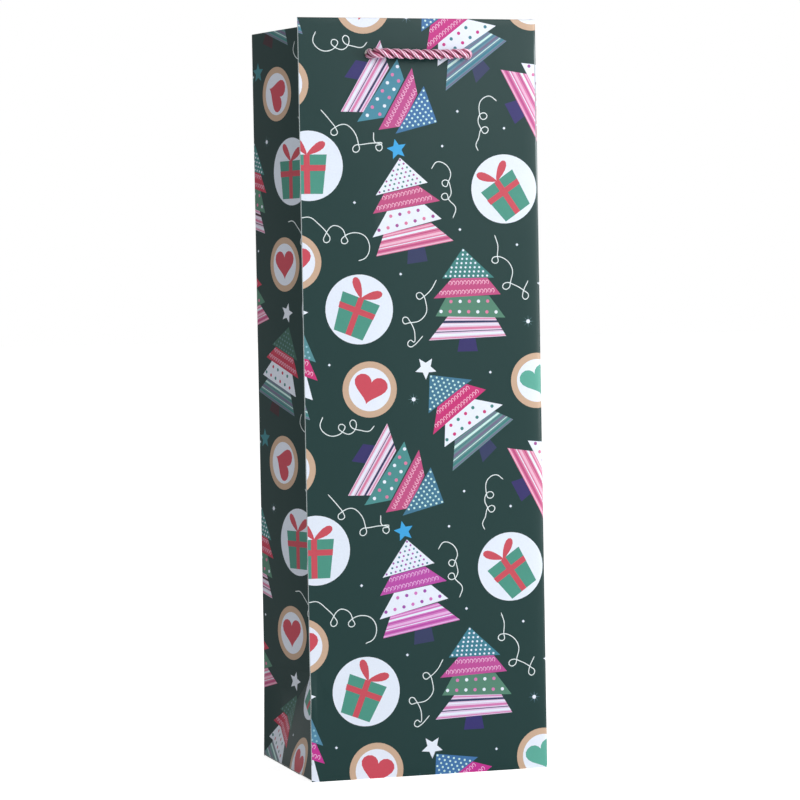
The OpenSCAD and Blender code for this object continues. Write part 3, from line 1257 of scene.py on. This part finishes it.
@dataclass
class FoldedSheet:
    """The one printed sheet: walls, side panels and the leaning facets of the foot."""

    paper: float = 0.3
    pinch: float = math.radians(17.0)
    hem: float = 35.0
    wall_hem_side: float = 7.0
    leaf_hem_side: float = 3.0
    wall_fold: float = 0.55
    leaf_fold: float = 0.3
    foot_level: float = 0.9
    hole_gap: float = 48.0
    hole_drop: float = 17.0
    hole_radius: float = 2.55
    corner_roll: float = 1.2
    seam_shift: float = -31.3

    def __post_init__(self) -> None:
        """Reads the walls' places from the frame."""
        low, high = (Vector(v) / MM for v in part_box("front_panel"))
        self.half_w, self.height, self.front = high.x, high.z, low.y
        self.back = (Vector(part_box("back_panel")[1]) / MM).y
        self.half_d = -self.front
        self.inner_w = self.half_w - self.paper
        self.leaf = self.half_d - self.paper
        self.front_in = self.front + self.paper
        self.back_in = self.back - self.paper
        self.fold_z = self.half_d
        self.middle = (self.front_in + self.back_in) / 2

    def end_of_hem(self, radius: float) -> float:
        """The sheet's b at the lower edge of the turned-in paper."""
        straight = self.height - radius
        return straight + math.pi * radius + straight - (self.height - self.hem)

    def wall_outline(self, width: float, foot: float) -> Loop:
        """A front or back wall with its turned-in paper.

        Args:
            width: Width of the wall.
            foot: Height of its lower edge.

        Returns:
            The corners, counter-clockwise.
        """
        crest = self.height - self.wall_fold + math.pi * self.wall_fold / 2
        end, side = self.end_of_hem(self.wall_fold), self.wall_hem_side
        return [(0, foot), (width, foot), (width, crest), (width - side, crest + 0.6),
                (width - side, end), (side, end), (side, crest + 0.6), (0, crest)]

    def hole_loops(self, width: float) -> list[Loop]:
        """The two punched holes, in the wall and again in its turned-in paper.

        Args:
            width: Width of the wall.

        Returns:
            Four loops, the wall's two first.
        """
        z = self.height - self.hole_drop
        straight = self.height - self.wall_fold
        over = straight + math.pi * self.wall_fold + (straight - z)
        across = [width / 2 + side * self.hole_gap / 2 for side in (-1, 1)]
        return [blob((a, b), self.hole_radius, 28) for b in (z, over) for a in across]

    def walls(self) -> list[Facet]:
        """The front and back walls and the strip under the fold-flat crease.

        Returns:
            The three panels.
        """
        width, behind = 2 * self.half_w, 2 * self.half_w + 2 * self.leaf
        right, left, up = Vector((1, 0, 0)), Vector((-1, 0, 0)), Vector((0, 0, 1))
        mouth = {"holes": self.hole_loops(width), "fold_radius": self.wall_fold, "top": self.height}
        cut_edge = [(0.0, 8.0), (0.28, 8.0), (0.34, 300.0), (0.28, 356.0), (0.0, 356.0)]
        # Painted highlight: a light strip along the rolled right corner, widest near the top.
        rolled_edge_highlight = [(width, 6.0), (width, 356.0), (width - 0.9, 345.0), (width - 0.9, 292.0),
                       (width - 0.35, 262.0), (width - 0.25, 6.0)]
        front = Facet(
            "front_print", "front_wall", ("front_panel", "front_hem"),
            self.wall_outline(width, 0.0), Vector((-self.half_w, self.front, 0)), right, up, 0.0,
            bulge=1.1, roll=self.corner_roll, roll_at=width - self.corner_roll, lift=1.3,
            scuffs_and_highlights=[cut_edge, rolled_edge_highlight], **mouth,
        )
        back = Facet(
            "back_print", "back_wall", ("back_panel", "back_hem"),
            self.wall_outline(width, self.fold_z), Vector((self.half_w, self.back, 0)), left, up,
            behind, bulge=0.8, **mouth,
        )
        slope = Vector((0, self.back - self.half_d, self.fold_z)) / self.fold_z
        strip = Facet(
            "back_foot_print", "heel_strip", ("back_foot",),
            [(0, 0.1), (width, 0.1), (width, self.fold_z), (0, self.fold_z)],
            Vector((self.half_w, self.half_d, 0)), left, slope, behind,
        )
        return [front, back, strip]

    def leaf_outline(self, ends: Point, feet: Point, hem: Point) -> Loop:
        """Half a side panel between its ends, with its foot's heights and its turned-in paper.

        Args:
            ends: The half's left and right end.
            feet: Height of its lower edge at each end.
            hem: Left and right end of its turned-in paper.

        Returns:
            The corners, counter-clockwise.
        """
        (a, b), (hem_a, hem_b) = ends, hem
        crest = self.height - self.leaf_fold + math.pi * self.leaf_fold / 2
        end = self.end_of_hem(self.leaf_fold)
        loop = [(a, feet[0]), (b, feet[1]), (b, crest)]
        if hem_b < b:
            loop.append((hem_b, crest + 0.5))
        loop += [(hem_b, end), (hem_a, end)]
        if hem_a > a:
            loop.append((hem_a, crest + 0.5))
        return loop + [(a, crest)]

    def leaves(self) -> list[Facet]:
        """The four half side panels.

        Returns:
            The four panels.
        """
        s, c = math.sin(self.pinch), math.cos(self.pinch)
        up, leaf, full = Vector((0, 0, 1)), self.leaf, 2 * self.leaf
        low, high, hem = self.foot_level, self.fold_z, self.leaf_hem_side
        out = []
        for side, side_name in ((-1, "left"), (1, "right")):
            for half in ("rear", "front") if side < 0 else ("front", "rear"):
                first = (half == "rear") == (side < 0)
                inward = -side * s if first else side * s
                along = Vector((inward, side * c, 0))
                y = self.back_in if half == "rear" else self.front_in
                corner = Vector((side * self.inner_w, y, 0)) - along * (0.0 if first else full)
                feet = (high, high) if half == "rear" else ((low, high) if first else (high, low))
                ends = (0.0, leaf) if first else (leaf, full)
                turned = (hem, leaf) if first else (leaf, full - hem)
                out.append(Facet(
                    f"{side_name}_{half}_print", f"{side_name}_{half}_leaf",
                    (f"{side_name}_gusset_{half}", f"{side_name}_hem_{half}"),
                    self.leaf_outline(ends, feet, turned),
                    corner + along.cross(up) * self.paper, along, up, self.side_shift(side),
                    bulge=0.5, ruffle=0.5, fold_radius=self.leaf_fold, top=self.height,
                    on_side=True,
                ))
        return out

    def side_shift(self, side: int) -> float:
        """Where a side panel's print starts along the sheet."""
        return self.seam_shift if side < 0 else 2 * self.half_w

    def foot_facets(self) -> list[Facet]:
        """The triangles of the foot, each stretched between its three corners.

        Returns:
            The four panels.
        """
        full, leaf, base, top = 2 * self.leaf, self.leaf, self.foot_level, self.fold_z
        out = []
        for side, name in ((-1, "left"), (1, "right")):
            x = side * self.inner_w
            apex = Vector((x - side * leaf * math.sin(self.pinch), self.middle, top))
            front, rear = (Vector((x, y, base)) for y in (self.front_in, -self.front_in))
            heel = Vector((x, self.back_in, top))
            rear_a, front_a = (0.0, full) if side < 0 else (full, 0.0)
            low_rear, peak = ((rear_a, base), rear), ((leaf, top), apex)
            parts = (
                ("foot", 0.7, (((front_a, base), front), low_rear, peak)),
                ("heel", -0.6, (low_rear, ((rear_a, top), heel), peak)),
            )
            for part, bulge, corners in parts:
                (p0, q0), (p1, q1), (p2, q2) = corners
                rows = ((p1[0] - p0[0], p2[0] - p0[0]), (p1[1] - p0[1], p2[1] - p0[1]))
                flat = Matrix(rows).inverted()
                along, up = ((q1 - q0) * flat[0][i] + (q2 - q0) * flat[1][i] for i in (0, 1))
                origin = q0 - along * p0[0] - up * p0[1]
                out.append(Facet(
                    f"{name}_{part}_print", f"{name}_{part}", (f"{name}_{part}_triangle",),
                    [p0, p1, p2], origin + along.cross(up).normalized() * self.paper, along, up,
                    self.side_shift(side), bulge=bulge, on_side=True,
                ))
        return out

    def build(self, pattern: GiftWrapPrint, finishes: Finishes) -> None:
        """Builds every printed panel.

        Args:
            pattern: The sheet's print.
            finishes: The bag's finishes.
        """
        for facet in (*self.walls(), *self.leaves(), *self.foot_facets()):
            facet.build(pattern, finishes, self.paper)


# --- cards, flaps and seam ---


@dataclass
class HiddenSheets:
    """The flaps, the seam's tab and the cards, which keep the frame's own shapes."""

    def build(self, finishes: Finishes) -> None:
        """Gives each its finish.

        Args:
            finishes: The bag's finishes.
        """
        plan = {
            finishes.paper: ("glue_tab", "left_dust_flap", "right_dust_flap"),
            finishes.ground: ("base_outer_flap", "base_inner_flap"),
            finishes.card: ("front_top_card", "back_top_card"),
            finishes.board: ("base_card",),
        }
        for material, names in plan.items():
            for name in names:
                slots = frame["nodes"][name].data.materials
                slots.clear()
                slots.append(material)
                LOG.info("%s: %s", name, material.name)


# --- cord handles ---


@dataclass
class CordHandle:
    """A twisted cord through two holes of a wall, with a knot on each end inside the bag."""

    name: str
    body: str
    node: str
    knots: tuple[str, str]
    left_knot_z: float
    right_knot_z: float
    mirrored: bool
    diameter: float = 5.0
    strand: float = 1.27
    lay: float = 1.2
    pitch: float = 14.6
    ply_pitch: float = 5.2
    knot_turn: float = 2.75
    knot_thread: float = 2.2
    brush: float = 8.0
    hole_x: float = 24.0
    hole_z: float = 343.0
    knot_x: float = 6.5
    bend: float = 4.5

    def __post_init__(self) -> None:
        """Works out the planes that the cord runs in."""
        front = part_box("front_panel")[0][1] / MM
        paper, card, gap, knot_radius = 0.3, 0.5, 0.3, 5.2
        self.span_y = front - self.bend - 0.6
        self.tail_y = front + paper + card + paper + gap + self.diameter / 2
        self.knot_y = front + paper + gap + knot_radius
        self.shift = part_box("back_panel")[1][1] / MM + front

    def tail(self, side: int, z: float) -> list[Triple]:
        """Route from a knot up to its hole and out to the handle's span.

        Args:
            side: -1 on the left and 1 on the right.
            z: The knot's height.

        Returns:
            Points in millimetres on the front wall.
        """
        kx, hx, hz = self.knot_x, self.hole_x, self.hole_z
        ky, ty, sy, r = self.knot_y, self.tail_y, self.span_y, self.bend
        return [
            (side * kx, ky, z), (side * kx, ky, z + 6),
            (side * (kx + 1.5), (ky + ty) / 2, z + 20), (side * (kx + 5), ty, z + 50),
            (side * (hx - 3), ty, hz - 45), (side * (hx - 0.5), ty, hz - 18),
            (side * hx, ty, hz - r), (side * hx, ty - 0.3 * r, hz - 0.3 * r),
            (side * hx, ty - r, hz), (side * (hx - 0.3 * r), sy + 0.3 * r, hz),
            (side * (hx - r), sy, hz),
        ]

    def place(self, p: Triple) -> Vector:
        """A route point in metres, on the wall that the cord belongs to."""
        x, y, z = p
        return Vector((x, -y + self.shift if self.mirrored else y, z)) * MM

    def route(self) -> list[Vector]:
        """Middle line of the cord in metres, with points less than a millimetre apart.

        Returns:
            Points from the left knot to the right one.
        """
        y, z = self.span_y - 0.6, self.hole_z - 0.4
        left, right = self.tail(-1, self.left_knot_z), self.tail(1, self.right_knot_z)
        points = [*left, (-8, y, z), (8, y, z - 0.1), *reversed(right)]
        return smooth_line([self.place(p) for p in points], 0.8 * MM)

    def carried_sides(self, line: list[Vector]) -> list[tuple[Vector, Vector]]:
        """Two cross directions at each point, carried along without twist.

        Args:
            line: The cord's middle line.

        Returns:
            The two directions of each point.
        """
        side, out = Vector((0, 1, 0)), []
        for i in range(len(line)):
            t = (line[min(i + 1, len(line) - 1)] - line[max(i - 1, 0)]).normalized()
            side = (side - t * side.dot(t)).normalized()
            out.append((side, t.cross(side)))
        return out

    def build_cord(self, finishes: Finishes) -> tuple[Object, list[Vector], float]:
        """Three strands of four plies each, laid round the middle line.

        Args:
            finishes: The bag's finishes.

        Returns:
            The cord, its middle line and its length in metres.
        """
        line = self.route()
        travelled = [0.0, *accumulate((b - a).length for a, b in zip(line, line[1:]))]
        strand_r, lay_r, around, rings = self.strand * MM, self.lay * MM, 20, len(line)
        vertices: list[Vector] = []
        shading: list[float] = []
        faces: list[tuple[int, ...]] = []
        for strand in range(3):
            start = len(vertices)
            for (s, u), p, far in zip(self.carried_sides(line), line, travelled):
                lay = math.tau * far / (self.pitch * MM) + math.tau * strand / 3
                sway = 1 + 0.05 * math.sin(far / (31 * MM) + strand * 2.1)
                centre = p + (s * math.cos(lay) + u * math.sin(lay)) * lay_r * sway
                for k in range(around):
                    turn = math.tau * k / around
                    ply = 4 * turn - math.tau * far / (self.ply_pitch * MM)
                    ridge = abs(math.cos(ply / 2 + 0.4 * strand)) ** 0.8
                    r = strand_r * (0.84 + 0.18 * ridge)
                    point = centre + (s * math.cos(lay + turn) + u * math.sin(lay + turn)) * r
                    vertices.append(point)
                    # Painted shading: dark where the thread lies deep in the grooves, pale on the
                    # ridges of the crowns.
                    out = (point - p).length / (lay_r + strand_r)
                    shading.append(max(0.0, min(1.0, (out - 0.5) / 0.42)) * (0.2 + 0.8 * ridge))
            for a in range(start, start + (rings - 1) * around, around):
                for k in range(around):
                    n = (k + 1) % around
                    faces.append((a + k, a + n, a + around + n, a + around + k))
            faces.append(tuple(start + k for k in reversed(range(around))))
            faces.append(tuple(start + (rings - 1) * around + k for k in range(around)))
        obj = new_object(self.name, vertices, faces, [finishes.satin])
        self.set_painted_shading(obj, shading)
        only(obj)
        bpy.ops.object.shade_smooth()
        return obj, line, travelled[-1]

    def set_painted_shading(self, obj: Object, values: list[float]) -> None:
        """Writes how far out each point of the thread lies, which sets its painted shade and
        highlight.
        """
        obj.data.attributes.new("PaintedShading", "FLOAT", "POINT").data.foreach_set("value", values)

    def build_knot(self, node: str, side: int, z: float, finishes: Finishes) -> Object:
        """An overhand knot of fat turns with a short brushed-out end below it.

        Args:
            node: The frame's knot.
            side: -1 on the left and 1 on the right.
            z: The knot's height.
            finishes: The bag's finishes.

        Returns:
            The knot's object.
        """
        centre = self.place((side * self.knot_x, self.knot_y, z))
        parts = []
        for tilt, roll, lift in ((0, 0, 0.6), (62, 20, 0.0), (-58, 25, -0.4)):
            bpy.ops.mesh.primitive_torus_add(
                major_radius=self.knot_turn * MM, minor_radius=self.knot_thread * MM,
                major_segments=36, minor_segments=16,
                location=centre + Vector((0, 0, lift * MM)),
                rotation=(math.radians(tilt), math.radians(roll), 0),
            )
            parts.append(bpy.context.active_object)
        bpy.ops.mesh.primitive_cone_add(
            vertices=24, radius1=2.5 * MM, radius2=2.1 * MM, depth=self.brush * MM,
            location=centre + Vector((0, 0, -8.2 * MM)),
        )
        parts.append(bpy.context.active_object)
        bpy.ops.object.mode_set(mode="EDIT")
        bpy.ops.mesh.select_all(action="SELECT")
        bpy.ops.mesh.subdivide(number_cuts=2)
        bpy.ops.object.mode_set(mode="OBJECT")
        for part in parts:
            part.select_set(True)
        obj = bpy.context.view_layer.objects.active = parts[0]
        bpy.ops.object.join()
        obj.name = obj.data.name = f"{node}_turns"
        settle(obj)
        obj.data.materials.clear()
        obj.data.materials.append(finishes.satin)
        shading = []
        # Painted shade and highlight in bands round the knot's turns.
        for d in (vertex.co - centre for vertex in obj.data.vertices):
            shading.append(0.55 + 0.4 * math.sin(5 * math.atan2(d.y, d.x) + d.z / (1.1 * MM)))
        self.set_painted_shading(obj, shading)
        bpy.ops.object.shade_smooth_by_angle(angle=math.radians(50))
        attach(obj, self.body)
        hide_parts(node)
        LOG.info("%s: knot", obj.name)
        return obj

    def build(self, finishes: Finishes) -> None:
        """Args:
            finishes: The bag's finishes.
        """
        cord, line, length = self.build_cord(finishes)
        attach(cord, self.body)
        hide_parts(self.node)
        knots = [
            self.build_knot(self.knots[0], -1, self.left_knot_z, finishes),
            self.build_knot(self.knots[1], 1, self.right_knot_z, finishes),
        ]
        LOG.info("%s: %.3f m", self.name, length)


# --- studio ---


@dataclass
class Studio:
    """Pale floor and surroundings, soft lights and the camera."""

    azimuth: float = 16.77
    elevation: float = 1.732
    roll: float = -1.04
    distance: float = 1.4579
    target: Triple = (0.00172, 0.0, 0.17788)
    lens: float = 133.7
    ambient: float = 0.42

    def camera(self) -> None:
        """Places the camera."""
        az, el, roll = (math.radians(x) for x in (self.azimuth, self.elevation, self.roll))
        back = Vector((-math.sin(az) * math.cos(el), -math.cos(az) * math.cos(el), math.sin(el)))
        right = Vector((math.cos(az), -math.sin(az), 0))
        up = right.cross(-back)
        x = right * math.cos(roll) + up * math.sin(roll)
        y = up * math.cos(roll) - right * math.sin(roll)
        place = Vector(self.target) + back * self.distance
        data = bpy.data.cameras.new("camera")
        data.lens, data.sensor_width = self.lens, 36
        obj = bpy.data.objects.new("camera", data)
        obj.matrix_world = Matrix.Translation(place) @ Matrix((x, y, back)).transposed().to_4x4()
        bpy.context.collection.objects.link(obj)
        bpy.context.scene.camera = obj

    def light(self, name: str, place: Triple, size: float, power: float) -> None:
        """Adds a square soft light that points at the bag's middle.

        Args:
            name: The light's name.
            place: Its middle in metres.
            size: Its side in metres.
            power: Its power in watts.
        """
        data = bpy.data.lights.new(name, "AREA")
        data.size, data.energy = size, power
        obj = bpy.data.objects.new(name, data)
        turn = (Vector((0, 0, 0.18)) - Vector(place)).to_track_quat("-Z", "Y").to_matrix().to_4x4()
        obj.matrix_world = Matrix.Translation(place) @ turn
        bpy.context.collection.objects.link(obj)

    def floor(self) -> None:
        """The floor, a plain sheet that fades into the pale surroundings."""
        bpy.ops.mesh.primitive_plane_add(size=40, location=(0, 0, 0))
        obj = bpy.context.active_object
        obj.name = "floor"
        material, graph, shader = start_material("floor_white", {
            "Base Color": (0.86, 0.86, 0.86, 1), "Roughness": 0.9, "Specular IOR Level": 0.1,
            "Emission Color": (1, 1, 1, 1),
        })
        camera_share(graph, 0.0, 0.75, shader.inputs["Emission Strength"])
        obj.data.materials.append(material)

    def surroundings(self) -> None:
        """A plain white world and a plain view transform."""
        world = bpy.data.worlds.new("white")
        world.use_nodes = True
        sky = put(world.node_tree.nodes["Background"], {"Color": (1, 1, 1, 1)})
        camera_share(world.node_tree, self.ambient, 1.0, sky.inputs["Strength"])
        bpy.context.scene.world = world
        bpy.context.scene.view_settings.view_transform = "Standard"

    def build(self) -> None:
        """Sets up the studio."""
        self.camera()
        self.floor()
        self.surroundings()
        self.light("key", (0.8, -1.45, 0.9), 0.9, 13.2)
        self.light("fill", (-1.6, -0.9, 0.6), 1.2, 1.5)
        self.light("edge", (1.35, -0.75, 0.35), 0.6, 12)


def main() -> None:
    """Builds the bag piece by piece."""
    logging.basicConfig(level=logging.INFO, format="%(message)s")
    Studio().build()
    finishes = build_finishes()
    for handle in (
        CordHandle("front_handle_cord", "front_wall", "front_cord",
                   ("front_left_knot", "front_right_knot"), 195, 217, False),
        CordHandle("back_handle_cord", "back_wall", "back_cord",
                   ("back_left_knot", "back_right_knot"), 217, 195, True),
    ):
        handle.build(finishes)
    FoldedSheet().build(GiftWrapPrint(), finishes)
    HiddenSheets().build(finishes)
    bpy.context.view_layer.update()


if __name__ == "__main__":
    main()
